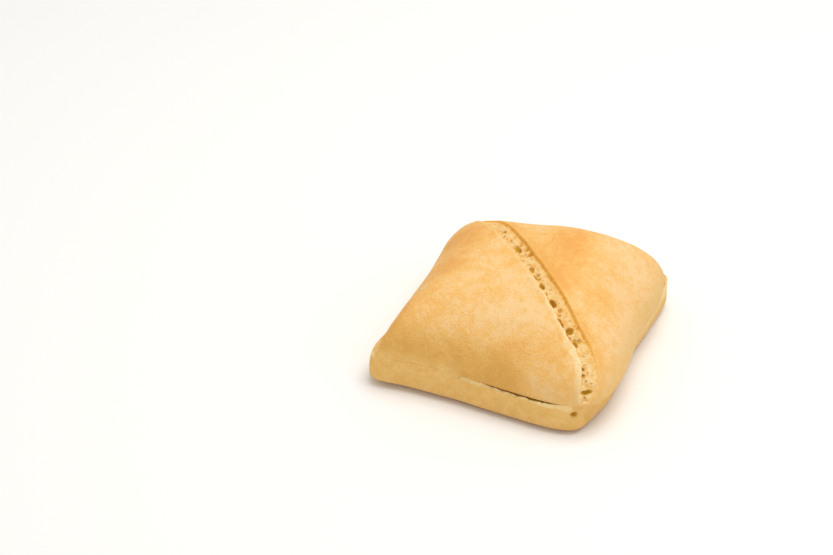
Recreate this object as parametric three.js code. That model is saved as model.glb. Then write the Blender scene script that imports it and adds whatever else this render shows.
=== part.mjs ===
// A square soft-crusted burger bun, sliced level through into a domed top and a flat-based bottom.
// Millimetres, +Z up, the flat base at z = 0, the bounding box centred on the Z axis.

import * as THREE from 'three';
import { mergeVertices } from 'three/addons/utils/BufferGeometryUtils.js';

// ---- driving dimensions -------------------------------------------------------------------

// Plan of the bun: four slightly out-of-square sides. Each has the direction it faces in degrees,
// its distance from the middle, the share by which its waist is drawn in, the waist's turn away
// from the side's middle and its narrowness, how far the top half hangs over the bottom half
// (the top has slid about 3 mm towards +X after slicing) and how far the foot flares out.
const SIDES = [
  { facing: -0.4, distance: 60.7, waist: 0.031, turn: 3, narrowness: 30, overhang: 4.0, flare: 0.7 },
  { facing: 98.3, distance: 48.5, waist: 0.031, turn: 0, narrowness: 8, overhang: -0.5, flare: 0.1 },
  { facing: 180.9, distance: 44.1, waist: 0.024, turn: 1, narrowness: 8, overhang: -1.8, flare: 0.1 },
  { facing: 268.3, distance: 57.4, waist: 0.043, turn: -2, narrowness: 8, overhang: 0.9, flare: 2.3 },
];

// Each corner has its direction, how far it stands out, how much more it does on the top half, and
// how much wider its lower edge is rounded than the sides' is.
const CORNERS = [
  { facing: 38, out: 1.0, topOut: -3.8, rounder: 0 },
  { facing: 135, out: 0.7, topOut: 0.3, rounder: 0 },
  { facing: 230, out: 3.4, topOut: -0.3, rounder: 14 },
  { facing: 318, out: -4.4, topOut: 1.1, rounder: -2 },
];
const CORNER_NARROWNESS = 85;
const ROUNDER_NARROWNESS = 20;
const FLARE_NARROWNESS = 4;

// The top half has also turned a little on the bottom half, most of all at its rim.
const TOP_TURN = 1.8;
const TOP_TURN_PLACE = 6;

// Squareness of the plan: 2 is round and higher is squarer.
const SQUARENESS_BOTTOM = 14;
const SQUARENESS_RIM = 10.2;
const SQUARENESS_TOP = 2;

// Heights, and the shape of the dome between the rim and the middle.
const SLICE_HEIGHT = 15.8;
const SLICE_GAP = 0.3;
const DOME_HEIGHT = 32.2;
const DOME_FULLNESS = 2.9;
const DOME_ROUNDNESS = 0.69;
const DOME_LEAN = { x: 2.6, y: 2.0 };

// Roundings.
const BASE_ROUND_WIDTH = 8.9;
const BASE_ROUND_HEIGHT = 4.9;
const SIDE_BULGE = 0.2;
const SIDE_BULGE_PLACE = 6;

// The two lobes on either side of the diagonal split.
const LOBE_DISTANCE = 35.2;
const LOBE_WIDTH = 20.3;
const BACK_LOBE_RISE = 4.6;
const FRONT_LOBE_DROP = 0.8;

// The split runs from the far-left corner to the near-right corner and swerves near its end.
const SPLIT_OFFSET = 5.5;
const SPLIT_SWERVE = 2.0;
const SPLIT_SWERVE_PLACE = 66;
const SPLIT_SWERVE_LENGTH = 8;
const SPLIT_FAR_END = -46;
const SPLIT_NEAR_END = 76;
const SPLIT_END_LENGTH = 7;

// Its cross-section: a steep wall on the left, a floor that rises to the right, and a raised lip.
const SPLIT_HALF_WIDTH = 3.5;
const SPLIT_DEPTH = 2.2;
const SPLIT_WALL_WIDTH = 1.6;
const SPLIT_FLOOR_RISE = 0.7;
const LIP_RISE = 1.0;
const LIP_WIDTH = 2.2;
const LIP_SPREAD = 18;
const RIM_EDGE = 0.985;

// Mesh fineness.
const BOTTOM_SECTORS = 128;
const WALL_ROWS = 4;
const ROUND_ROWS = 5;
const TOP_MERIDIANS = 72;
const TOP_STATIONS = 52;
const MERIDIAN_CROWDING = 0.7;

// ---- shared formulas ----------------------------------------------------------------------

const DIAGONAL = Math.SQRT1_2;
const SLOPE_STEP = 1e-3;
const SLOPE_FROM = 0.02;
const SLOPE_TO = 0.995;
const JOIN_DISTANCE = 1e-4;
const CUT_EDGE = 1e-6;
const CRUST_TOP_COLOUR = 0xe3a758;
const CRUST_SIDE_COLOUR = 0xd9b67c;

/** 0 below `from`, 1 above `to`, and a smooth step between them. */
function step(value, from, to) {
  return THREE.MathUtils.smoothstep(value, from, to);
}

/** 1 where `angle` looks the way `degrees` does, falling to 0 at right angles to it. */
function facing(angle, degrees) {
  return Math.max(0, Math.cos(angle - THREE.MathUtils.degToRad(degrees)));
}

/** Distance from the middle to the outline; `topShare` is 0 on the bottom half and 1 on the top. */
function outline(angle, squareness, topShare, cornerShare) {
  let sum = 0;
  let drawnIn = 1;
  for (const side of SIDES) {
    const distance = side.distance + topShare * side.overhang;
    sum += (facing(angle, side.facing) / distance) ** squareness;
    drawnIn *= 1 - side.waist * facing(angle, side.facing + side.turn) ** side.narrowness;
  }
  let corners = 0;
  for (const corner of CORNERS) {
    const out = corner.out + topShare * corner.topOut;
    corners += out * facing(angle, corner.facing) ** CORNER_NARROWNESS;
  }
  return drawnIn * sum ** (-1 / squareness) + cornerShare * corners;
}

/** How far the foot of the side flares out beyond the slice. */
function footFlare(angle) {
  let flare = 0;
  for (const side of SIDES) {
    flare += side.flare * facing(angle, side.facing) ** FLARE_NARROWNESS;
  }
  return flare;
}

/** How wide the lower edge is rounded. */
function baseRoundWidth(angle) {
  let width = BASE_ROUND_WIDTH;
  for (const corner of CORNERS) {
    width += corner.rounder * facing(angle, corner.facing) ** ROUNDER_NARROWNESS;
  }
  return width;
}

/** A bell curve of height 1 around `middle`. */
function bell(value, middle, width) {
  return Math.exp(-(((value - middle) / width) ** 2));
}

/** How far the crust stands above (or below) the plain dome at a distance across the split. */
function splitHeight(across) {
  const left = -SPLIT_HALF_WIDTH;
  const right = SPLIT_HALF_WIDTH;
  const wall = step(across, left - SPLIT_WALL_WIDTH / 2, left + SPLIT_WALL_WIDTH / 2);
  const floor = 1 - SPLIT_FLOOR_RISE * step(across, left, right);
  const shoulder = step(across, right - LIP_WIDTH / 2, right + LIP_WIDTH / 2);
  const lip = LIP_RISE * shoulder * (1 - step(across, right + LIP_WIDTH / 2, right + LIP_SPREAD));
  return lip - SPLIT_DEPTH * wall * floor * (1 - shoulder);
}

/** A point on the plain dome, `share` of the way from the middle (0) to the rim (1). */
function domePoint(share, angle) {
  const squareness = THREE.MathUtils.lerp(SQUARENESS_TOP, SQUARENESS_RIM, share);
  const bulge = 4 * SIDE_BULGE * share ** SIDE_BULGE_PLACE * (1 - share ** SIDE_BULGE_PLACE);
  const radius = (outline(angle, squareness, 1, share ** 2) + bulge) * share;
  const inward = 1 - share ** 2;
  const turned = angle + THREE.MathUtils.degToRad(TOP_TURN) * share ** TOP_TURN_PLACE;
  const x = radius * Math.cos(turned) + DOME_LEAN.x * inward;
  const y = radius * Math.sin(turned) + DOME_LEAN.y * inward;
  const across = (x + y) * DIAGONAL;
  const backLobe = BACK_LOBE_RISE * bell(across, LOBE_DISTANCE, LOBE_WIDTH);
  const frontLobe = FRONT_LOBE_DROP * bell(across, -LOBE_DISTANCE, LOBE_WIDTH);
  const dome = DOME_HEIGHT * Math.max(0, 1 - share ** DOME_FULLNESS) ** DOME_ROUNDNESS;
  const z = SLICE_HEIGHT + SLICE_GAP + dome + inward * (backLobe - frontLobe);
  return new THREE.Vector3(x, y, z);
}

/** A point on the crust of the top half, with the split pressed in along the dome's normal. */
function crustPoint(share, angle) {
  const point = domePoint(share, angle);
  const near = THREE.MathUtils.clamp(share, SLOPE_FROM, SLOPE_TO);
  const outwards = domePoint(near + SLOPE_STEP, angle).sub(domePoint(near - SLOPE_STEP, angle));
  const around = domePoint(near, angle + SLOPE_STEP).sub(domePoint(near, angle - SLOPE_STEP));
  const normal = outwards.cross(around).normalize();
  const along = (point.x - point.y) * DIAGONAL;
  const swerve = SPLIT_SWERVE * bell(along, SPLIT_SWERVE_PLACE, SPLIT_SWERVE_LENGTH);
  const across = (point.x + point.y) * DIAGONAL - SPLIT_OFFSET - swerve;
  const started = step(along, SPLIT_FAR_END, SPLIT_FAR_END + SPLIT_END_LENGTH);
  const ended = step(along, SPLIT_NEAR_END - SPLIT_END_LENGTH, SPLIT_NEAR_END);
  const nearRim = 1 - step(share, RIM_EDGE, 1);
  return point.addScaledVector(normal, splitHeight(across) * started * (1 - ended) * nearRim);
}

/** A point on the top half's level cut face. */
function cutFacePoint(share, angle) {
  const radius = outline(angle, SQUARENESS_RIM, 1, 1) * share;
  const turned = angle + THREE.MathUtils.degToRad(TOP_TURN);
  const z = SLICE_HEIGHT + SLICE_GAP;
  return new THREE.Vector3(radius * Math.cos(turned), radius * Math.sin(turned), z);
}

/** Drops all but a geometry's positions, moves each vertex by a formula and joins equal ones. */
function reshaped(geometry, reshape) {
  geometry.deleteAttribute('normal');
  geometry.deleteAttribute('uv');
  const place = geometry.getAttribute('position');
  const vertex = new THREE.Vector3();
  for (let i = 0; i < place.count; i += 1) {
    const moved = reshape(vertex.fromBufferAttribute(place, i));
    place.setXYZ(i, moved.x, moved.y, moved.z);
  }
  const merged = mergeVertices(geometry, JOIN_DISTANCE);
  merged.computeVertexNormals();
  return merged;
}

function crust(colour) {
  return new THREE.MeshStandardMaterial({ color: colour, roughness: 0.75, metalness: 0 });
}

// ---- sub-parts ----------------------------------------------------------------------------

/** The lower half: flat baked base, rounded lower edge, upright side and level cut face. */
function bunBottom() {
  const profile = [new THREE.Vector2(0, 0)];
  for (let row = 0; row <= ROUND_ROWS; row += 1) {
    profile.push(new THREE.Vector2(1, (BASE_ROUND_HEIGHT * row) / ROUND_ROWS));
  }
  for (let row = 1; row <= WALL_ROWS; row += 1) {
    const height = THREE.MathUtils.lerp(BASE_ROUND_HEIGHT, SLICE_HEIGHT, row / WALL_ROWS);
    profile.push(new THREE.Vector2(1, height));
  }
  profile.push(new THREE.Vector2(0, SLICE_HEIGHT));
  const lathe = new THREE.LatheGeometry(profile, BOTTOM_SECTORS);
  lathe.rotateX(Math.PI / 2);

  const geometry = reshaped(lathe, (vertex) => {
    const share = Math.hypot(vertex.x, vertex.y);
    const angle = Math.atan2(vertex.y, vertex.x);
    const quarter = Math.min(1, vertex.z / BASE_ROUND_HEIGHT) * (Math.PI / 2);
    const inset = baseRoundWidth(angle) * (1 - Math.sin(quarter));
    const rounded = BASE_ROUND_HEIGHT * (1 - Math.cos(quarter));
    const z = vertex.z < BASE_ROUND_HEIGHT ? rounded : vertex.z;
    const flare = footFlare(angle) * (1 - z / SLICE_HEIGHT);
    const radius = (outline(angle, SQUARENESS_BOTTOM, 0, 1) - inset + flare) * share;
    return new THREE.Vector3(radius * Math.cos(angle), radius * Math.sin(angle), z);
  });
  const mesh = new THREE.Mesh(geometry, crust(CRUST_SIDE_COLOUR));
  mesh.name = 'bun_bottom';
  return mesh;
}

/**
 * The upper half: level cut face and a domed crust with two lobes and the diagonal split.
 * It is a sphere whose poles are the split's two ends, so its meridians run along the split. They
 * are crowded together there. Its upper half becomes the crust and its lower half the cut face.
 */
function bunTop() {
  const sphere = new THREE.SphereGeometry(1, TOP_MERIDIANS, TOP_STATIONS);
  const geometry = reshaped(sphere, (vertex) => {
    const ring = Math.hypot(vertex.x, vertex.z);
    const turn = Math.atan2(vertex.z, vertex.x);
    const crowded = turn + (MERIDIAN_CROWDING / 2) * Math.sin(2 * turn);
    const across = ring * Math.cos(crowded);
    const along = -vertex.y;
    const x = (across + along) * DIAGONAL;
    const y = (across - along) * DIAGONAL;
    const share = Math.min(1, Math.hypot(x, y));
    const angle = Math.atan2(y, x);
    const onCrust = ring * Math.sin(crowded) > CUT_EDGE;
    return onCrust ? crustPoint(share, angle) : cutFacePoint(share, angle);
  });
  const mesh = new THREE.Mesh(geometry, crust(CRUST_TOP_COLOUR));
  mesh.name = 'bun_top';
  return mesh;
}

// ---- the bun ------------------------------------------------------------------------------

const bun = new THREE.Group();
bun.add(bunBottom(), bunTop());
const middle = new THREE.Box3().setFromObject(bun).getCenter(new THREE.Vector3());
bun.position.set(-middle.x, -middle.y, 0);

export default bun;
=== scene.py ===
"""A square soft-crusted burger bun, sliced level through, on a plain pale studio floor.

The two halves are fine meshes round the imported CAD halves. The slice's height and the bun's place
come from those, and the dimensions of the plan and the dome repeat the CAD part's. Lengths are in
millimetres until a mesh is made, which is in metres.
"""

import math
from collections import namedtuple

import bpy
import numpy as np
from mathutils import Euler, Matrix, Vector


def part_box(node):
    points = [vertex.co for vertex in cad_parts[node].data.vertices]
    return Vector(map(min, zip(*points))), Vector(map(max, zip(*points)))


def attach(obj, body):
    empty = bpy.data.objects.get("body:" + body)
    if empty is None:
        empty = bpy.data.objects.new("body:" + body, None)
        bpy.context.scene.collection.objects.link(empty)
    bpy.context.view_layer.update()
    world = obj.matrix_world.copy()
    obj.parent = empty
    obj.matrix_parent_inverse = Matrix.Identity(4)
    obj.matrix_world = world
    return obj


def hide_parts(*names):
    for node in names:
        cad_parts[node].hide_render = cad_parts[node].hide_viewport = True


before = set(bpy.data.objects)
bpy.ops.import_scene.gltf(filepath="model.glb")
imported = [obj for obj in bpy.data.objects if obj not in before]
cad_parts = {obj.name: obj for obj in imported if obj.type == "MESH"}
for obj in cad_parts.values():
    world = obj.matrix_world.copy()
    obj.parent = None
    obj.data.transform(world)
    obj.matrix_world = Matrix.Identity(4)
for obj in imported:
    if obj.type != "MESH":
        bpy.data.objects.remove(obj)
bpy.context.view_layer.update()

MM = 0.001
BOTTOM_LOW, BOTTOM_HIGH = (np.array(corner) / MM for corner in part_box("bun_bottom"))
TOP_LOW = np.array(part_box("bun_top")[0]) / MM

# ---- driving dimensions -----------------------------------------------------------------------

# Plan of the bun, as in the CAD part. Each side has the direction it faces in degrees, its distance
# from the middle, the share by which its waist is drawn in, the waist's turn away from the side's
# middle and its narrowness, how far the top half hangs over the bottom half and how far the foot
# flares out.
Side = namedtuple("Side", "facing distance waist turn narrowness overhang flare")
SIDES = (
    Side(-0.4, 60.7, 0.031, 3, 30, 4.0, 0.7),
    Side(98.3, 48.5, 0.031, 0, 8, -0.5, 0.1),
    Side(180.9, 44.1, 0.024, 1, 8, -1.8, 0.1),
    Side(268.3, 57.4, 0.043, -2, 8, 0.9, 2.3),
)

# Each corner has its direction, how far it stands out, how much more it does on the top half, and
# how much wider its lower edge is rounded than the sides' is.
Corner = namedtuple("Corner", "facing out top_out rounder")
CORNERS = (
    Corner(38, 1.0, -3.8, 0),
    Corner(135, 0.7, 0.3, 0),
    Corner(230, 3.4, -0.3, 14),
    Corner(318, -4.4, 1.1, -2),
)
CORNER_NARROWNESS = 85
ROUNDER_NARROWNESS = 20
FLARE_NARROWNESS = 4

# The top half has also turned a little on the bottom half, most of all at its rim.
TOP_TURN = math.radians(1.8)
TOP_TURN_PLACE = 6

# Squareness of the plan: 2 is round and higher is squarer.
SQUARENESS_BOTTOM = 14
SQUARENESS_RIM = 10.2
SQUARENESS_TOP = 2

# Heights, and the shape of the dome between the rim and the middle.
SLICE_HEIGHT = BOTTOM_HIGH[2]
TOP_START = TOP_LOW[2]
DOME_HEIGHT = 32.2
DOME_FULLNESS = 2.9
DOME_ROUNDNESS = 0.69
DOME_LEAN = (2.6, 2.0)

# Roundings, and how far the bottom half's left corner swells half way up.
BASE_ROUND_WIDTH = 8.9
BASE_ROUND_HEIGHT = 4.9
SIDE_BULGE = 0.2
SIDE_BULGE_PLACE = 6
LEFT_CORNER = 229
LEFT_CORNER_BULGE = 1.3
LEFT_CORNER_NARROWNESS = 60

# Stretches of the slice, in degrees round the bun, each with the ramps where it fades in and out.
# It has closed up on the left of the front face and at the near corner, it gapes on the right of
# the front face, and a pale patch lies beside the near corner, pale torn crumb with a painted
# highlight.
CLOSED_FRONT = ((231, 235), (262, 273))
CLOSED_CORNER = ((305, 311), (343, 352))
GAPING = ((266, 295), (303, 310))
# Pale torn crumb with a painted highlight beside the near corner.
PALE_PATCH_AND_HIGHLIGHT = ((298, 306), (311.5, 313.5))

# How far the slice's edges gape, there and elsewhere, and the share of it that the top half takes.
GAPE = 1.15
OPEN_EDGE = 0.3
TOP_GAPE = 0.4

# The torn edge of the bottom half: its height, how far it is drawn in, and how far it rises to meet
# the top half where the slice has closed up.
TORN_HEIGHT = 1.6
TORN_INSET = 0.2
CLOSED_RISE = 0.27

# The top half's rim: how close to it the top is flush with the bottom half where the slice has
# closed up (a power of the way out), and how far the rim rises at the split's two ends.
FLUSH_PLACE = 10
END_LIFT = 0.3

# The two lobes on either side of the diagonal split.
LOBE_DISTANCE = 35.2
LOBE_WIDTH = 20.3
BACK_LOBE_RISE = 4.6
FRONT_LOBE_DROP = 0.8

# The split runs from the far-left corner to the near-right corner and swerves near its end.
SPLIT_OFFSET = 5.5
SPLIT_SWERVE = 2.0
SPLIT_SWERVE_PLACE = 66.0
SPLIT_SWERVE_LENGTH = 8.0
SPLIT_HALF_WIDTH = 3.45
SPLIT_NARROWEST = 2.0
SPLIT_DEPTH = 2.2
SPLIT_FLOOR_RISE = 0.7
FLAP_RISE = 0.35
LIP_RISE = 1.0
LIP_SPREAD = 18

# Its far end, over which its edges draw together and it fades, and its near end above the rim.
SPLIT_FAR_END = -43.5
SPLIT_FAR_FADE = 5
SPLIT_FAR_TAPER = 10
FAR_TAPER_LEFT = 0.3
FAR_TAPER_RIGHT = 1.3
SPLIT_END_ABOVE_RIM = 1.5
SPLIT_END_FADE = 1

# Down the near corner its right edge is drawn in, its left edge spreads, it gets shallower and its
# lip fades. The stretches are along the split.
SPLIT_TAPER = 5.4
SPLIT_TAPER_HEIGHT = 7
SPLIT_SPREAD = 1.8
SPREADING = (70, 77)
SHALLOWER_BY = 0.45
SHALLOWING = (54, 76)
LIP_GROWING = (-50, -14)
LIP_FADING = (50, 72)

# Lumps of the crust, with the height of the broad ones on each half.
BROAD_LUMP_SIZE = 26.0
TOP_LUMP = 0.55
SIDE_LUMP = 0.5
SMALL_LUMP_SIZE = 5.0
SMALL_LUMP = 0.10

# Pores: the share of places that have one, how they hollow out, how wobbly the larger ones are, and
# the small ones of the hidden cut faces.
PORE_SHARE = 0.6
PORE_DEPTH = 0.6
PORE_FULLNESS = 0.6
PORE_WOBBLE = 0.3
PORE_WOBBLE_SIZE = 1.4
CUT_PORE_SIZE = 3.2
CUT_PORE_DEPTH = 1.3

# Larger pores of the split: place along it, place across it (-1 at the deep side, 1 at the lip),
# length and width.
PORES = (
    (-43.5, 0.05, 2.2, 1.6),
    (-34.5, -0.35, 1.8, 1.4),
    (-26.5, 0.35, 2, 1.6),
    (-17.9, 0.15, 3.4, 1.8),
    (-9, -0.1, 2.6, 1.2),
    (-1.1, -0.1, 6.2, 2.5),
    (6.8, 0.75, 2.8, 3.2),
    (7.8, -0.5, 2, 0.9),
    (15.3, -0.35, 4.2, 2),
    (20.8, -0.6, 3.4, 1.6),
    (27.9, -0.5, 4, 2.6),
    (32.5, -0.6, 2.2, 1.4),
    (39.3, -0.55, 4.6, 3.6),
    (49.6, -0.7, 5.5, 1.5),
    (54.5, -0.2, 3.8, 3.9),
    (58.8, 1, 2.8, 1.5),
    (61.3, -0.5, 3.2, 2.2),
    (69.2, -0.5, 1.1, 1.1),
    (70.3, -0.8, 1.8, 1.8),
    (71.9, -0.15, 1, 1),
    (72.4, -0.85, 1.9, 1.5),
    (74, -0.6, 1.2, 1.2),
    (74.9, 0.1, 1, 1),
    (76.7, -0.7, 2.6, 5.6),
    (77.4, -1.1, 1, 1),
)

# Browner patches of the top crust, and two paler ones: place (x, y), how far they spread and how
# brown they are.
BROWNED = (
    (-26, -14, 12, 0.60),
    (-26, 14, 14, 0.80),
    (-36, -45, 14, 0.45),
    (3, -57, 11, 0.25),
    (44, -50, 10, 0.25),
    (22, -54, 11, 0.35),
    (-4, -40, 8, 0.15),
    (11, -39, 9, -0.25),
    (8, -2, 10, 0.25),
    (28, -8, 9, 0.50),
    (24, 14, 12, 0.85),
    (46, 24, 10, -0.10),
    (24, 38, 14, 0.50),
    (44, -8, 9, 0.25),
)

# Pits in the side of the bottom half: direction (degrees), height, width and depth.
SIDE_PITS = (
    (313.4, 11.2, 3.4, 2.0),
    (268.5, 15.0, 0.9, 0.6),
)

# Mesh fineness.
FINENESS = 1.0
MERIDIANS = int(320 * FINENESS)
STATIONS = int(860 * FINENESS)
MERIDIAN_CROWDING = 0.75
CUT_COLUMNS = int(60 * FINENESS)
SECTORS = int(1200 * FINENESS)
BASE_ROWS = int(36 * FINENESS)
ROUND_ROWS = int(30 * FINENESS)
WALL_ROWS = int(56 * FINENESS)
CUT_ROWS = int(48 * FINENESS)
SHARP_EDGE = math.radians(70)
CRUST, CRUMB = 0, 1

# Camera: an 85 mm lens that looks down at the bun from its near-right corner's side. The aim is off
# the bun's middle by these shares of the distance.
LENS = 85.0
CAMERA_TURN = 23.0
CAMERA_PITCH = 35.0
CAMERA_DISTANCE = 904.0
AIM_HEIGHT = 20.8
AIM_RIGHT = 0.04604
AIM_DOWN = 0.01158

# Light: one soft lamp almost overhead, and an even pale surround.
KEY_DIRECTION = (0.19, 0.11, 1.0)
KEY_DISTANCE = 1.2
KEY_SIZE = 0.9
KEY_POWER = 8.65
KEY_COLOUR = (1, 0.985, 0.96)
SURROUND = 0.65
SURROUND_COLOUR = (1, 0.99, 0.97, 1)
FLOOR_SIZE = 12

DIAGONAL = math.sqrt(0.5)


# ---- noise ------------------------------------------------------------------------------------

def hashed(cells, seed):
    """A number from 0 to 1 for each integer cell, which large primes mix thoroughly."""
    c = cells.astype(np.int64)
    h = c[..., 0] * 73856093 ^ c[..., 1] * 19349663 ^ c[..., 2] * 83492791 ^ seed * 2654435761
    h = (h ^ (h >> 13)) * 1274126177 & 0xFFFFFFFF
    h = (h ^ (h >> 16)) * 2246822519 & 0xFFFFFFFF
    return (h ^ (h >> 15) & 0xFFFF) % 65536 / 65535.0


def value_noise(points, size, seed):
    """Smooth noise from -1 to 1 with lumps about `size` across."""
    p = points / size
    base = np.floor(p)
    f = p - base
    f = f * f * f * (f * (6 * f - 15) + 10)
    total = np.zeros(p.shape[:-1])
    for corner in np.ndindex(2, 2, 2):
        weight = np.prod(np.where(corner, f, 1 - f), axis=-1)
        total += weight * hashed(base + corner, seed)
    return 2 * total - 1


def rough_noise(points, size, seed):
    """Three sizes of value noise together, each half as large and half as strong as the last."""
    total = 0
    for octave in range(3):
        total = total + value_noise(points, size / 2 ** octave, seed + octave) / 2 ** octave
    return total / 1.6


def bubble_noise(points, size, seed):
    """Depth from 0 to 1 inside round bubbles scattered one to a cell, in PORE_SHARE of the cells.

    Their radii are from 0.15 to 0.55 of a cell.
    """
    p = points / size
    base = np.floor(p)
    deepest = np.zeros(p.shape[:-1])
    for corner in np.ndindex(3, 3, 3):
        cell = base + corner - 1
        centre = cell + np.stack([hashed(cell, seed + k) for k in range(3)], axis=-1)
        radius = 0.15 + 0.4 * hashed(cell, seed + 3)
        present = hashed(cell, seed + 4) < PORE_SHARE
        distance = np.linalg.norm(p - centre, axis=-1) / radius
        depth = np.sqrt(np.clip(1 - distance ** 2, 0, 1)) * radius / 0.55
        deepest = np.maximum(deepest, np.where(present, depth, 0))
    return deepest


# ---- shared shape formulas --------------------------------------------------------------------

def step(value, start, end):
    """0 before start, 1 after end, and a smooth step between them."""
    t = np.clip((value - start) / (end - start), 0, 1)
    return t * t * (3 - 2 * t)


def band(value, rise, fall):
    """1 between the ramps `rise` and `fall`, each a start and an end, and 0 outside them."""
    return step(value, *rise) * (1 - step(value, *fall))


def ridge(value, middle, width):
    """A bell curve of height 1 at `middle`."""
    return np.exp(-(((value - middle) / width) ** 2))


def facing(angle, degrees):
    """1 where `angle` looks the way `degrees` does, falling to 0 at right angles to it."""
    return np.clip(np.cos(angle - math.radians(degrees)), 0, None)


def outline(angle, squareness, top_share, corner_share=1.0):
    """Distance from the middle to the outline; `top_share` is 0 on the bottom half and 1 on the top."""
    total = 0
    drawn_in = 1
    for side in SIDES:
        distance = side.distance + top_share * side.overhang
        total = total + (facing(angle, side.facing) / distance) ** squareness
        drawn_in = drawn_in * (1 - side.waist * facing(angle, side.facing + side.turn) ** side.narrowness)
    corners = 0
    for corner in CORNERS:
        out = corner.out + top_share * corner.top_out
        corners = corners + out * facing(angle, corner.facing) ** CORNER_NARROWNESS
    return drawn_in * total ** (-1 / squareness) + corner_share * corners


def foot_flare(angle):
    """How far the foot of the side flares out beyond the slice."""
    return sum(side.flare * facing(angle, side.facing) ** FLARE_NARROWNESS for side in SIDES)


def base_round_width(angle):
    """How wide the lower edge is rounded."""
    return BASE_ROUND_WIDTH + sum(
        corner.rounder * facing(angle, corner.facing) ** ROUNDER_NARROWNESS for corner in CORNERS
    )


def closed_up(angle):
    """1 where the slice has closed up: on the left of the front face, and at the near corner."""
    turn = np.degrees(angle) % 360
    return band(turn, *CLOSED_FRONT), band(turn, *CLOSED_CORNER)


def gape(angle):
    """How far the slice gapes at its edge, in millimetres."""
    front_left, near_corner = closed_up(angle)
    gaping = band(np.degrees(angle) % 360, *GAPING)
    return OPEN_EDGE * (1 - front_left - near_corner) + GAPE * gaping


def crust_lumps(points, broad):
    """Height of the crust's lumps, of which the broad ones are `broad` high."""
    small = SMALL_LUMP * rough_noise(points, SMALL_LUMP_SIZE, 45)
    return broad * rough_noise(points, BROAD_LUMP_SIZE, 41) + small


def dome(share, angle):
    """Points on the plain dome, `share` of the way from the middle (0) to the rim (1)."""
    squareness = SQUARENESS_TOP + (SQUARENESS_RIM - SQUARENESS_TOP) * share
    low_down = share ** SIDE_BULGE_PLACE
    bulge = 4 * SIDE_BULGE * low_down * (1 - low_down)
    plan = outline(angle, squareness, 1, share ** 2)
    flush = closed_up(angle + TOP_TURN)[0] * share ** FLUSH_PLACE
    plan = plan + flush * (outline(angle + TOP_TURN, SQUARENESS_BOTTOM, 0) - plan)
    radius = (plan + bulge) * share
    inward = 1 - share ** 2
    turned = angle + TOP_TURN * share ** TOP_TURN_PLACE
    x = radius * np.cos(turned) + DOME_LEAN[0] * inward
    y = radius * np.sin(turned) + DOME_LEAN[1] * inward
    across = (x + y) * DIAGONAL
    back_lobe = BACK_LOBE_RISE * ridge(across, LOBE_DISTANCE, LOBE_WIDTH)
    front_lobe = FRONT_LOBE_DROP * ridge(across, -LOBE_DISTANCE, LOBE_WIDTH)
    rise = DOME_HEIGHT * np.clip(1 - share ** DOME_FULLNESS, 0, 1) ** DOME_ROUNDNESS
    z = TOP_START + rise + inward * (back_lobe - front_lobe)
    return np.stack([x, y, z], axis=-1)


def dome_normals(share, angle):
    """Directions straight out of the plain dome, of length 1."""
    small = 1e-3
    near = np.clip(share, 0.02, 0.995)
    outwards = dome(near + small, angle) - dome(near - small, angle)
    around = dome(near, angle + small) - dome(near, angle - small)
    normals = np.cross(outwards, around)
    return normals / np.maximum(np.linalg.norm(normals, axis=-1, keepdims=True), 1e-12)


# ---- mesh making ------------------------------------------------------------------------------

def make_mesh(name, points, quads, triangles, marks, materials, material_of_face):
    """An object from points in millimetres, with its marks as attributes and its materials."""
    mesh = bpy.data.meshes.new(name)
    faces = [list(face) for face in quads] + [list(face) for face in triangles]
    mesh.from_pydata((points * MM).tolist(), [], faces)
    for mark, values in marks.items():
        attribute = mesh.attributes.new(mark, "FLOAT", "POINT")
        attribute.data.foreach_set("value", np.asarray(values, np.float32))
    for material in materials:
        mesh.materials.append(material)
    mesh.polygons.foreach_set("material_index", np.asarray(material_of_face, np.int32))
    mesh.polygons.foreach_set("use_smooth", np.ones(len(mesh.polygons), bool))
    mesh.validate()
    mesh.update()
    mesh.set_sharp_from_angle(angle=SHARP_EDGE)
    piece = bpy.data.objects.new(name, mesh)
    bpy.context.scene.collection.objects.link(piece)
    return piece


def grid_quads(index):
    """The quads of a grid of vertex numbers."""
    a = index[:-1, :-1].ravel()
    b = index[1:, :-1].ravel()
    c = index[1:, 1:].ravel()
    d = index[:-1, 1:].ravel()
    return np.stack([a, b, c, d], axis=-1)


# ---- the top half -----------------------------------------------------------------------------

def split_place(points):
    """Distance along the split and distance across from its swerving middle line."""
    along = (points[..., 0] - points[..., 1]) * DIAGONAL
    across = (points[..., 0] + points[..., 1]) * DIAGONAL
    swerve = ridge(along, SPLIT_SWERVE_PLACE, SPLIT_SWERVE_LENGTH)
    return along, across - SPLIT_OFFSET - SPLIT_SWERVE * swerve


def split_edges(points, along):
    """Where the split's ragged left edge and its smoother right edge lie, across the split."""
    far = SPLIT_HALF_WIDTH * (1 - step(along, SPLIT_FAR_END, SPLIT_FAR_END + SPLIT_FAR_TAPER))
    left = -SPLIT_HALF_WIDTH + 0.5 * value_noise(points, 7.0, 11) + 0.5 * value_noise(points, 2.2, 12)
    left = left - SPLIT_SPREAD * step(along, *SPREADING)
    left = left + FAR_TAPER_LEFT * far
    right = SPLIT_HALF_WIDTH + 0.4 * value_noise(points, 12.0, 13) + 0.12 * value_noise(points, 2.6, 14)
    right = right - FAR_TAPER_RIGHT * far
    above_rim = points[..., 2] - TOP_START
    right = right - SPLIT_TAPER * (1 - step(above_rim, 1, SPLIT_TAPER_HEIGHT))
    return left, np.maximum(right, left + SPLIT_NARROWEST)


def between_ends(points, along):
    """1 along the split and 0 beyond its two ends."""
    above_end = points[..., 2] - TOP_START - SPLIT_END_ABOVE_RIM
    inside = step(above_end, -SPLIT_END_FADE, SPLIT_END_FADE)
    return inside * step(along, SPLIT_FAR_END, SPLIT_FAR_END + SPLIT_FAR_FADE)


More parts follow.
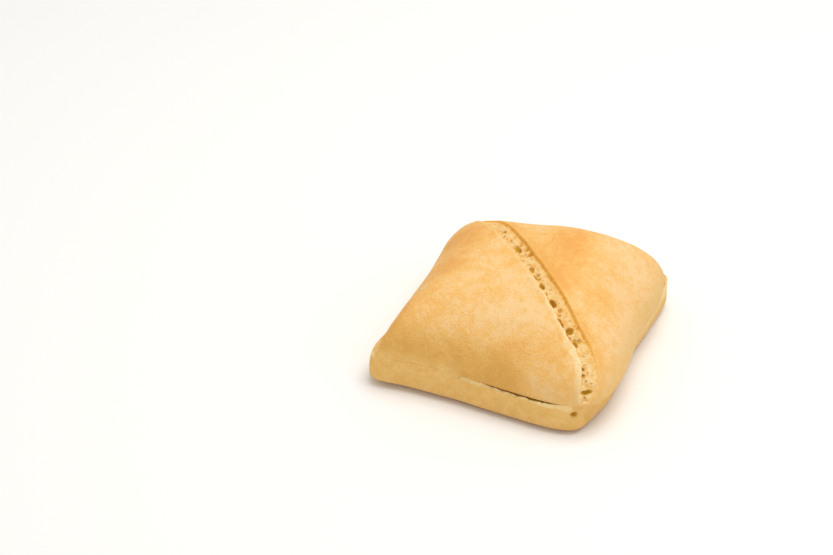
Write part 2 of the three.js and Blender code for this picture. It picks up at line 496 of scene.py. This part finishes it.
def split_height(along, across, left, right, inside):
    """Height of the crumb's sunken floor, the flap of crust left of it and the lip right of it.

    The floor is deepest behind the flap and rises towards the lip.
    """
    wall = step(across, left - 0.35, left + 0.35)
    floor = 1 - SPLIT_FLOOR_RISE * step(across, left + 0.6, right - 0.6)
    shoulder = step(across, right - 0.7, right + 0.6)
    lip = LIP_RISE * shoulder * (1 - step(across, right + 0.6, right + LIP_SPREAD))
    lip = lip * (1 - step(along, *LIP_FADING)) * step(along, *LIP_GROWING)
    depth = SPLIT_DEPTH * (1 - SHALLOWER_BY * step(along, *SHALLOWING)) * wall * floor * (1 - shoulder)
    flap = FLAP_RISE * ridge(across, left - 1.2, 1.4)
    return lip + (flap - depth) * inside


def split_marks(points, along, across, left, right, inside):
    """Marks that colour the split: how far each point is bare crumb, floury, toasted and so on."""
    before_lip = (1 - step(across, right - 0.2, right + 0.35)) * inside
    flour_width = 1.0 + 2.4 * step(along, 52, 62) - 1.6 * step(along, *SPREADING)
    flour_start = left - flour_width + 0.9 * rough_noise(points, 4.0, 15)
    flour = step(across, flour_start - 1.6, flour_start + 1.4) * (1 - step(across, left, left + 0.3))
    # How strong the flap's flour is along the split; its fall towards the near end is painted shade.
    flour_strength_and_shade = 0.35 + 0.65 * step(along, -5, 50) - 0.3 * step(along, 66, 76)
    toast = np.maximum(ridge(across, right, 0.5), 0.35 * ridge(across, right - 1.1, 0.8))
    shade_patches = step(value_noise(points, 2.6, 17), -0.5, 0.4)
    return {
        "bare": step(across, left - 0.15, left + 0.1) * before_lip,
        "reach": step(across, left - 1.1, left - 0.7) * before_lip,
        "flour": flour * flour_strength_and_shade * inside,
        "toast": toast * inside * (1 - 0.6 * step(along, 60, 74)),
        "glow": ridge(across, right + 2.2, 2.4) * inside,
        "shaded": (1 - step(across, left, left + 2.4)) * shade_patches * inside,
    }


def pore_depth(points, along, across):
    """Depth of the larger pores of the split's crumb."""
    wobble_along = PORE_WOBBLE * value_noise(points, PORE_WOBBLE_SIZE, 21)
    wobble_across = PORE_WOBBLE * value_noise(points, PORE_WOBBLE_SIZE, 22)
    depth = np.zeros(along.shape)
    for place, side, length, width in PORES:
        from_place = along - place
        from_side = across - side * SPLIT_HALF_WIDTH
        middle = np.unravel_index(np.argmin(np.hypot(from_place, from_side)), along.shape)
        distance = np.linalg.norm(points - points[middle], axis=-1)
        down_split = np.sqrt(np.clip(distance ** 2 - from_side ** 2, 0, None))
        u = (down_split + wobble_along) / (length / 2)
        v = (from_side + wobble_across) / (width / 2)
        hollow = np.clip(1 - u ** 2 - v ** 2, 0, 1) ** PORE_FULLNESS
        depth = np.maximum(depth, hollow * PORE_DEPTH * min(length, width))
    return depth


def browning(points):
    """How brown the top crust is baked, from the named patches."""
    total = 0
    for x, y, spread, strength in BROWNED:
        distance = np.hypot(points[..., 0] - x, points[..., 1] - y)
        total = total + strength * ridge(distance, 0, spread)
    return total


def plan_grid(station, column):
    """Share of the way out and angle, on a grid from one end of the split (0) to the other (pi)."""
    along = np.cos(station)[:, None] * np.ones_like(column)[None]
    across = np.sin(station)[:, None] * column[None]
    share = np.clip(np.hypot(along, across), 0, 1)
    return share, np.arctan2(across - along, across + along)


def top_crust(share, angle):
    """Points of the crust and of the split's crumb, with the marks that colour them."""
    base = dome(share, angle)
    along, across = split_place(base)
    left, right = split_edges(base, along)
    inside = between_ends(base, along)
    marks = split_marks(base, along, across, left, right, inside)
    pores = pore_depth(base, along, across) * marks.pop("reach")
    bare = np.maximum(marks["bare"], step(pores, 0, 0.15))
    fine_pores = 0.95 * bubble_noise(base, 2.5, 31)
    fine_pores = fine_pores + 0.5 * bubble_noise(base, 1.4, 36)
    fine_pores = fine_pores * bare * (1 - 0.8 * step(along, 66, 72))
    crumb_lumps = 0.38 * rough_noise(base, 2.2, 51) * bare
    height = split_height(along, across, left, right, inside) * (1 - step(share, 0.992, 1))
    height = height - pores - fine_pores
    height = height + (crust_lumps(base, TOP_LUMP) + crumb_lumps) * (1 - step(share, 0.99, 1))
    points = base + dome_normals(share, angle) * height[..., None]
    for edge in (0, -1):
        points[:, edge, 2] += TOP_GAPE * gape(angle[:, edge] + TOP_TURN)

    above_rim = base[..., 2] - TOP_START
    near_corner = step(np.degrees(angle) % 360, 288, 304)
    marks["bare"] = bare
    # The pores' depth and the shade beside the flap make the mark for painted shade in the crumb's hollows.
    marks["pore"] = np.clip(pores + fine_pores, 0, 2) / 1.6 + 0.32 * marks.pop("shaded") * bare
    marks["bake"] = browning(base) + 0.3 * marks.pop("glow")
    marks["front_skirt"] = (1 - step(above_rim, 6, 24)) * facing(angle, 262) ** 1.5 * (1 - near_corner)
    marks["side_skirt"] = (1 - step(above_rim, 3, 17)) * facing(angle, 10)
    marks["side"] = (1 - step(above_rim, 0, 6)) * closed_up(angle + TOP_TURN)[0]
    marks["slit"] = np.zeros(base.shape[:2])
    return points, marks


def top_cut_face(station):
    """Points inside the top half's level cut face, and how far each is in the open slit, where painted
    shade darkens it.
    """
    share, angle = plan_grid(station, np.linspace(-1, 1, CUT_COLUMNS + 1)[::-1])
    points = dome(np.ones_like(angle), angle) * share[..., None]
    points[..., 2] = TOP_START
    hollows = bubble_noise(points, CUT_PORE_SIZE, 61) * (1 - step(share, 0.9, 0.97))
    points[..., 2] += CUT_PORE_DEPTH * hollows
    # How far each point is in the open slit, whose colour there is painted shade.
    slit_shade = step(share, 0.9, 0.97) * gape(angle + TOP_TURN) / GAPE
    return points[:, 1:-1], slit_shade[:, 1:-1]


def top_faces(crust_shape, cut_shape):
    """Faces of the crust and the cut face and their materials; the two share the rim's points.

    Points are numbered crust first, then the inside of the cut face, then the split's two ends.
    """
    crust = np.arange(math.prod(crust_shape)).reshape(crust_shape)
    inner = crust.size + np.arange(math.prod(cut_shape)).reshape(cut_shape)
    cut = np.concatenate([crust[:, :1], inner, crust[:, -1:]], axis=1)
    near_end = crust.size + inner.size
    far_end = near_end + 1
    crust_quads = grid_quads(crust)
    cut_quads = grid_quads(cut)[:, ::-1]
    triangles = []
    material = [CRUST] * len(crust_quads) + [CRUMB] * len(cut_quads)
    for index, kind in ((crust, CRUST), (cut, CRUMB)):
        for row, end, turned in ((index[0], near_end, True), (index[-1], far_end, False)):
            for a, b in zip(row[:-1], row[1:]):
                triangles.append((end, b, a) if turned != (kind == CRUMB) else (end, a, b))
                material.append(kind)
    return np.concatenate([crust_quads, cut_quads]), triangles, material


def build_top(crust, crumb):
    """The domed upper half: a hemisphere grid whose poles are the split's two ends."""
    turn = np.linspace(0, math.pi, MERIDIANS + 1)
    turn = turn + MERIDIAN_CROWDING / 2 * np.sin(2 * turn)
    station = np.linspace(0, math.pi, STATIONS + 1)[1:-1]
    share, angle = plan_grid(station, np.cos(turn))
    share[:, 0] = share[:, -1] = 1
    points, marks = top_crust(share, angle)
    inner, slit_shade = top_cut_face(station)
    ends = dome(np.ones(2), np.array([-math.pi / 4, 3 * math.pi / 4]))
    ends[:, 2] += END_LIFT
    quads, triangles, material = top_faces(points.shape[:2], inner.shape[:2])

    inner_marks = {"bare": np.ones(slit_shade.size), "slit": slit_shade.ravel()}
    nothing = np.zeros(slit_shade.size)
    marks = {
        name: np.concatenate([values.ravel(), inner_marks.get(name, nothing), [0, 0]])
        for name, values in marks.items()
    }
    points = np.concatenate([points.reshape(-1, 3), inner.reshape(-1, 3), ends])
    return make_mesh("bun_top_bread", points, quads, triangles, marks, [crust, crumb], material)


# ---- the bottom half --------------------------------------------------------------------------

def bottom_rings(angle, plan):
    """Radius and height of the rings from the middle of the base out and up to the slice."""
    round_width = base_round_width(angle)
    rings = []
    for row in range(1, BASE_ROWS + 1):
        share = (row / BASE_ROWS) ** 0.8
        rings.append((share * (plan - round_width), np.zeros_like(angle)))
    for row in range(1, ROUND_ROWS + 1):
        quarter = row / ROUND_ROWS * math.pi / 2
        inset = round_width * (1 - math.sin(quarter))
        rings.append((plan - inset, np.full_like(angle, BASE_ROUND_HEIGHT * (1 - math.cos(quarter)))))
    for row in range(1, WALL_ROWS + 1):
        height = BASE_ROUND_HEIGHT + (SLICE_HEIGHT - BASE_ROUND_HEIGHT) * (row / WALL_ROWS)
        rings.append((plan, np.full_like(angle, height)))
    radius = np.array([ring[0] for ring in rings])
    z = np.array([ring[1] for ring in rings])
    share_of_foot = np.clip(radius / (plan - round_width), 0, 1)
    radius = radius + foot_flare(angle) * (1 - z / SLICE_HEIGHT) * share_of_foot
    half_way_up = 4 * z / SLICE_HEIGHT * (1 - z / SLICE_HEIGHT)
    at_corner = facing(angle, LEFT_CORNER) ** LEFT_CORNER_NARROWNESS
    return radius + LEFT_CORNER_BULGE * at_corner * half_way_up, z


def torn_edge(side, outward, z, angle, closed):
    """The side with its cut edge torn and gaping a little, except where the slice has closed up."""
    ragged = 1 + 0.6 * rough_noise(side, 2.2, 71) + 0.5 * value_noise(side, 0.9, 75)
    at_edge = step(z, SLICE_HEIGHT - TORN_HEIGHT, SLICE_HEIGHT)
    side[..., 2] -= (1 - TOP_GAPE) * gape(angle) * ragged * at_edge
    side = side - outward * (TORN_INSET * (1 - closed) * ragged * at_edge)[..., None]
    side[..., 2] += CLOSED_RISE * closed * at_edge
    return side


def edge_flour_and_highlight(side, turn, z, closed):
    """How pale the crust is just below the cut edge, deepest on the right: pale torn crumb with a painted
    highlight of the light that the rim catches.
    """
    patch = band(np.degrees(turn) % 360, *PALE_PATCH_AND_HIGHLIGHT)
    below_edge = SLICE_HEIGHT - z - 1.2 * patch + 1.0 * rough_noise(side, 2.2, 73)
    deeper = 1 + 5 * facing(turn, 14) ** 6
    return (1 - step(below_edge, 0.7 * deeper, 2.2 * deeper)) * np.maximum(1 - closed, 0.7 * patch)


def side_pits(side, outward, radius, turn, z):
    """The side with its small pits, and how deep in a pit each point is, from 0 to 1."""
    pit = 0
    for direction, height, width, depth in SIDE_PITS:
        sideways = radius * np.radians((np.degrees(turn) - direction + 180) % 360 - 180)
        distance = np.hypot(sideways, z - height) / (width / 2)
        hollow = np.clip(1 - distance ** 2, 0, 1) ** 0.7
        side = side - outward * (depth * hollow)[..., None]
        pit = pit + hollow
    return side, pit


def bottom_cut_face(edge):
    """Rings in from the cut edge over the level cut face, their pores and shares of the way out.

    The first few rings bring the ragged edge back to the level of the cut.
    """
    shares = [1 - (row / (CUT_ROWS + 1)) ** 1.3 for row in range(1, CUT_ROWS + 1)]
    cut = []
    for share in shares:
        ring = edge * (share, share, 1)
        ring[:, 2] = SLICE_HEIGHT + (edge[:, 2] - SLICE_HEIGHT) * (1 - min(1, (1 - share) / 0.04))
        cut.append(ring)
    cut = np.array(cut)
    share = np.array(shares)[:, None]
    pores = bubble_noise(cut, CUT_PORE_SIZE, 81)
    cut[..., 2] -= CUT_PORE_DEPTH * pores * (1 - step(share, 0.93, 0.98))
    return cut, pores, share


def bottom_faces(side_rows, cut_rows):
    """Faces between the rings and at the two middles, which are the last points, and materials."""
    rows = side_rows + cut_rows
    index = np.arange(rows * SECTORS).reshape(rows, SECTORS)
    looped = np.concatenate([index, index[:, :1]], axis=1)
    base_middle = index.size
    cut_middle = base_middle + 1
    quads = grid_quads(looped)[:, ::-1]
    triangles = [(base_middle, b, a) for a, b in zip(looped[0][:-1], looped[0][1:])]
    triangles += [(cut_middle, a, b) for a, b in zip(looped[-1][:-1], looped[-1][1:])]
    bands = [CRUST] * (side_rows - 1) + [CRUMB] * cut_rows + [CRUST, CRUMB]
    return quads, triangles, np.repeat(bands, SECTORS)


def build_bottom(crust, crumb):
    """The lower half: rings from the middle of the base, up the side and in over the cut face."""
    angle = np.linspace(0, 2 * math.pi, SECTORS, endpoint=False)
    radius, z = bottom_rings(angle, outline(angle, SQUARENESS_BOTTOM, 0))
    closed = sum(closed_up(angle))
    turn = np.broadcast_to(angle, radius.shape)
    outward = np.stack([np.cos(turn), np.sin(turn), np.zeros_like(turn)], axis=-1)
    side = np.stack([radius * np.cos(turn), radius * np.sin(turn), z], axis=-1)
    on_wall = (np.arange(len(side)) >= BASE_ROWS)[:, None]
    side = side + outward * (crust_lumps(side, SIDE_LUMP) * on_wall * step(z, 0, 3))[..., None]
    side = torn_edge(side, outward, z, angle, closed)
    # Pale torn crumb with a painted highlight just below the cut edge.
    flour = edge_flour_and_highlight(side, turn, z, closed)
    side, pit = side_pits(side, outward, radius, turn, z)
    cut, pores, cut_share = bottom_cut_face(side[-1])
    quads, triangles, material = bottom_faces(len(side), len(cut))

    at_edge = step(z, SLICE_HEIGHT - 0.5, SLICE_HEIGHT) * (1 - closed)
    bare = np.maximum(at_edge, step(pit, 0, 0.2))
    # How far each point of the cut face is in the open slit, whose colour there is painted shade.
    slit_shade = step(cut_share, 0.9, 0.97) * gape(angle)[None] / GAPE
    on_side = np.zeros(side.shape[:2])
    on_cut = np.ones(cut.shape[:2])
    marks = {
        "bare": (bare, on_cut, [0, 1]),
        # Painted shade in the side's pits and in the cut face's pores.
        "pore": (0.8 * pit, 0.7 * pores, [0, 0]),
        "slit": (on_side, slit_shade, [0, 0]),
        # Pale torn crumb and painted highlight below the cut edge.
        "flour": (flour, 0 * on_cut, [0, 0]),
        "under": (np.exp(-z / 3.0), 0 * on_cut, [1, 0]),
    }
    marks = {name: np.concatenate([np.ravel(part) for part in parts]) for name, parts in marks.items()}
    points = np.concatenate([side.reshape(-1, 3), cut.reshape(-1, 3), [(0, 0, 0), (0, 0, SLICE_HEIGHT)]])
    return make_mesh("bun_bottom_bread", points, quads, triangles, marks, [crust, crumb], material)


# ---- materials --------------------------------------------------------------------------------

class Nodes:
    """Short helpers for a material's node tree."""

    def __init__(self, name):
        self.material = bpy.data.materials.new(name)
        self.material.use_nodes = True
        self.tree = self.material.node_tree
        self.shader = self.tree.nodes["Principled BSDF"]
        coordinates = self.tree.nodes.new("ShaderNodeTexCoord")
        self.place = coordinates.outputs["Object"]

    def link(self, source, target):
        self.tree.links.new(source, target)

    def surface(self, colour, roughness, specular):
        self.link(colour, self.shader.inputs["Base Color"])
        self.shader.inputs["Roughness"].default_value = roughness
        self.shader.inputs["Specular IOR Level"].default_value = specular

    def mark(self, name):
        node = self.tree.nodes.new("ShaderNodeAttribute")
        node.attribute_name = name
        return node.outputs["Fac"]

    def noise(self, size, detail=4.0, roughness=0.55):
        """Noise whose lumps are about `size` millimetres across."""
        node = self.tree.nodes.new("ShaderNodeTexNoise")
        node.inputs["Scale"].default_value = 1 / (size * MM)
        node.inputs["Detail"].default_value = detail
        node.inputs["Roughness"].default_value = roughness
        self.link(self.place, node.inputs["Vector"])
        return node.outputs["Fac"]

    def ramp(self, value, start, end, low=0.0, high=1.0):
        node = self.tree.nodes.new("ShaderNodeMapRange")
        node.interpolation_type = "SMOOTHSTEP"
        node.inputs["From Min"].default_value = start
        node.inputs["From Max"].default_value = end
        node.inputs["To Min"].default_value = low
        node.inputs["To Max"].default_value = high
        self.link(value, node.inputs["Value"])
        return node.outputs["Result"]

    def math(self, operation, first, second):
        node = self.tree.nodes.new("ShaderNodeMath")
        node.operation = operation
        for socket, value in zip(node.inputs, (first, second)):
            if isinstance(value, (int, float)):
                socket.default_value = value
            else:
                self.link(value, socket)
        return node.outputs["Value"]

    def weighted(self, *terms):
        """The sum of some (value, weight) terms."""
        products = [self.math("MULTIPLY", value, weight) for value, weight in terms]
        total = products[0]
        for product in products[1:]:
            total = self.math("ADD", total, product)
        return total

    def mix(self, share, first, second):
        node = self.tree.nodes.new("ShaderNodeMix")
        node.data_type = "RGBA"
        self.link(share, node.inputs["Factor"])
        for socket, value in ((node.inputs["A"], first), (node.inputs["B"], second)):
            if isinstance(value, tuple):
                socket.default_value = (*value, 1)
            else:
                self.link(value, socket)
        return node.outputs["Result"]

    def bump(self, height, distance):
        node = self.tree.nodes.new("ShaderNodeBump")
        node.inputs["Distance"].default_value = distance * MM
        node.inputs["Strength"].default_value = 1.0
        self.link(height, node.inputs["Height"])
        self.link(node.outputs["Normal"], self.shader.inputs["Normal"])


PALE_CRUST = (0.93, 0.615, 0.29)
GOLD_CRUST = (0.90, 0.515, 0.155)
AMBER_CRUST = (0.85, 0.41, 0.10)
TOAST = (0.87, 0.42, 0.05)
FLOUR = (0.97, 0.77, 0.42)
# Pale torn crumb, also a painted highlight where the cut edge catches the light.
TORN_EDGE_AND_HIGHLIGHT = (0.99, 0.74, 0.34)
SIDE_CRUST = (0.83, 0.465, 0.11)
SIDE_PALE = (0.95, 0.615, 0.22)
CRUMB_PALE = (0.93, 0.665, 0.31)
CRUMB_GOLD = (0.86, 0.52, 0.17)
# Painted shade: golden-brown in the deep pores and pits of the crumb.
PORE_SHADE_GOLD = (0.63, 0.34, 0.03)
# Painted shade: dark brown inside the open slit between the halves.
SLIT_SHADE_BROWN = (0.45, 0.20, 0.01)
FRONT_SKIRT = (0.73, 0.39, 0.083)
FRONT_SKIRT_PALE = (0.83, 0.475, 0.128)
SIDE_SKIRT = (0.80, 0.52, 0.195)
UNDER_BROWN = (0.66, 0.36, 0.12)


def crumb_colour(n):
    """Pale crumb with golden grain, painted shade in golden-brown where pores and pits go deep, and painted
    shade in dark brown in the open slit.
    """
    grain = n.ramp(n.noise(2.6, 4, 0.6), 0.38, 0.60)
    base = n.mix(grain, CRUMB_GOLD, CRUMB_PALE)
    porous = n.mix(n.ramp(n.mark("pore"), 0.08, 0.6), base, PORE_SHADE_GOLD)
    return n.mix(n.mark("slit"), porous, SLIT_SHADE_BROWN)


def side_colour(n):
    """The pale golden side, a little mottled."""
    medium = n.ramp(n.noise(5, 5, 0.65), 0.3, 0.7)
    speck = n.ramp(n.noise(0.9, 3, 0.7), 0.3, 0.7)
    return n.mix(n.weighted((medium, 0.6), (speck, 0.4)), SIDE_PALE, SIDE_CRUST)


def top_crust_material():
    """Mottled golden crust, browner in patches, duller low on the front and pale by the split."""
    n = Nodes("top_crust")
    broad = n.ramp(n.noise(20, 3), 0.35, 0.65)
    medium = n.ramp(n.noise(4.5, 5, 0.65), 0.34, 0.66)
    speck = n.ramp(n.noise(1.0, 3, 0.7), 0.32, 0.68)
    brown = n.weighted((broad, 0.22), (medium, 0.32), (speck, 0.36), (n.mark("bake"), 0.9))
    gold = n.mix(n.ramp(brown, 0.2, 0.7), PALE_CRUST, GOLD_CRUST)
    colour = n.mix(n.ramp(brown, 0.6, 1.2), gold, AMBER_CRUST)
    front_skirt = n.mix(n.ramp(brown, 0.15, 0.95), FRONT_SKIRT_PALE, FRONT_SKIRT)
    colour = n.mix(n.ramp(n.mark("front_skirt"), 0, 1, 0, 0.95), colour, front_skirt)
    colour = n.mix(n.ramp(n.mark("side_skirt"), 0, 1, 0, 0.65), colour, SIDE_SKIRT)
    colour = n.mix(n.mark("side"), colour, side_colour(n))
    # Pale flour by the split, whose strength also carries painted shade near the split's near end.
    colour = n.mix(n.math("MULTIPLY", n.mark("flour"), n.ramp(medium, -0.6, 1.0)), colour, FLOUR)
    colour = n.mix(n.mark("bare"), colour, crumb_colour(n))
    colour = n.mix(n.mark("toast"), colour, TOAST)
    n.surface(colour, roughness=0.62, specular=0.2)
    n.bump(n.weighted((n.noise(0.8, 4), 1), (n.noise(3.0, 3), 0.8)), 0.48)
    return n.material


def side_crust_material():
    """The side's crust: browner underneath, with pale flour, a painted highlight and bare crumb by the cut
    edge, and painted shade in its pits.
    """
    n = Nodes("side_crust")
    colour = n.mix(n.mark("under"), side_colour(n), UNDER_BROWN)
    colour = n.mix(n.mark("bare"), colour, crumb_colour(n))
    # Pale torn crumb and painted highlight along the cut edge.
    colour = n.mix(n.ramp(n.mark("flour"), 0, 1, 0, 0.9), colour, TORN_EDGE_AND_HIGHLIGHT)
    n.surface(colour, roughness=0.66, specular=0.25)
    n.bump(n.weighted((n.noise(0.9, 4), 1), (n.noise(3.0, 3), 0.9)), 0.6)
    return n.material


def crumb_material():
    n = Nodes("crumb")
    n.surface(crumb_colour(n), roughness=0.85, specular=0.2)
    n.bump(n.noise(0.7, 5), 0.4)
    return n.material


def floor_material():
    n = Nodes("studio_floor")
    n.shader.inputs["Base Color"].default_value = (0.93, 0.925, 0.91, 1)
    n.shader.inputs["Roughness"].default_value = 0.9
    return n.material


# ---- studio -----------------------------------------------------------------------------------

def build_floor(material):
    bpy.ops.mesh.primitive_plane_add(size=FLOOR_SIZE, location=(0, 0, 0))
    floor = bpy.context.object
    floor.name = "floor"
    floor.data.materials.append(material)
    return floor


def build_studio():
    """A square soft lamp that shines at the bun, and the even surround."""
    light = bpy.data.lights.new("key", "AREA")
    light.size = KEY_SIZE
    light.energy = KEY_POWER
    light.color = KEY_COLOUR
    lamp = bpy.data.objects.new("key", light)
    place = Vector(KEY_DIRECTION).normalized() * KEY_DISTANCE
    lamp.location = place
    lamp.rotation_euler = (-place).to_track_quat("-Z", "Y").to_euler()
    bpy.context.scene.collection.objects.link(lamp)

    world = bpy.data.worlds.new("studio")
    world.use_nodes = True
    background = world.node_tree.nodes["Background"]
    background.inputs["Color"].default_value = SURROUND_COLOUR
    background.inputs["Strength"].default_value = SURROUND
    bpy.context.scene.world = world
    bpy.context.scene.view_settings.view_transform = "Standard"


def build_camera(middle):
    """Looks from CAMERA_TURN degrees to the right of -Y, with the bun right of the picture's middle."""
    camera = bpy.data.cameras.new("camera")
    camera.lens = LENS
    camera.sensor_width = 36.0
    camera.clip_start = 0.01
    pitch = math.radians(90 - CAMERA_PITCH)
    turn = Euler((pitch, 0, math.radians(CAMERA_TURN)), "XYZ")
    sight = turn.to_matrix() @ Vector((AIM_RIGHT, -AIM_DOWN, -1)).normalized()
    rig = bpy.data.objects.new("camera", camera)
    rig.location = (Vector((*middle, AIM_HEIGHT)) - sight * CAMERA_DISTANCE) * MM
    rig.rotation_euler = turn
    bpy.context.scene.collection.objects.link(rig)
    bpy.context.scene.camera = rig


# ---- assembly ---------------------------------------------------------------------------------

def shift_to_cad():
    """How far the plan's own middle moves to lie where it does in the CAD part."""
    turn = np.linspace(0, 2 * math.pi, 721)
    radius = outline(turn, SQUARENESS_BOTTOM, 0) + foot_flare(turn) * (1 - BASE_ROUND_HEIGHT / SLICE_HEIGHT)
    plan_x = radius * np.cos(turn)
    plan_y = radius * np.sin(turn)
    own_middle = np.array([plan_x.max() + plan_x.min(), plan_y.max() + plan_y.min()]) / 2
    cad_middle = (BOTTOM_LOW + BOTTOM_HIGH)[:2] / 2
    return cad_middle - own_middle


def main():
    crumb = crumb_material()
    top = build_top(top_crust_material(), crumb)
    bottom = build_bottom(side_crust_material(), crumb)
    shift = shift_to_cad()
    for piece in (top, bottom):
        piece.data.transform(Matrix.Translation((*(shift * MM), 0)))
        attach(piece, "root")
    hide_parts("bun_top")
    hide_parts("bun_bottom")

    build_floor(floor_material())
    build_studio()
    build_camera(shift)


main()
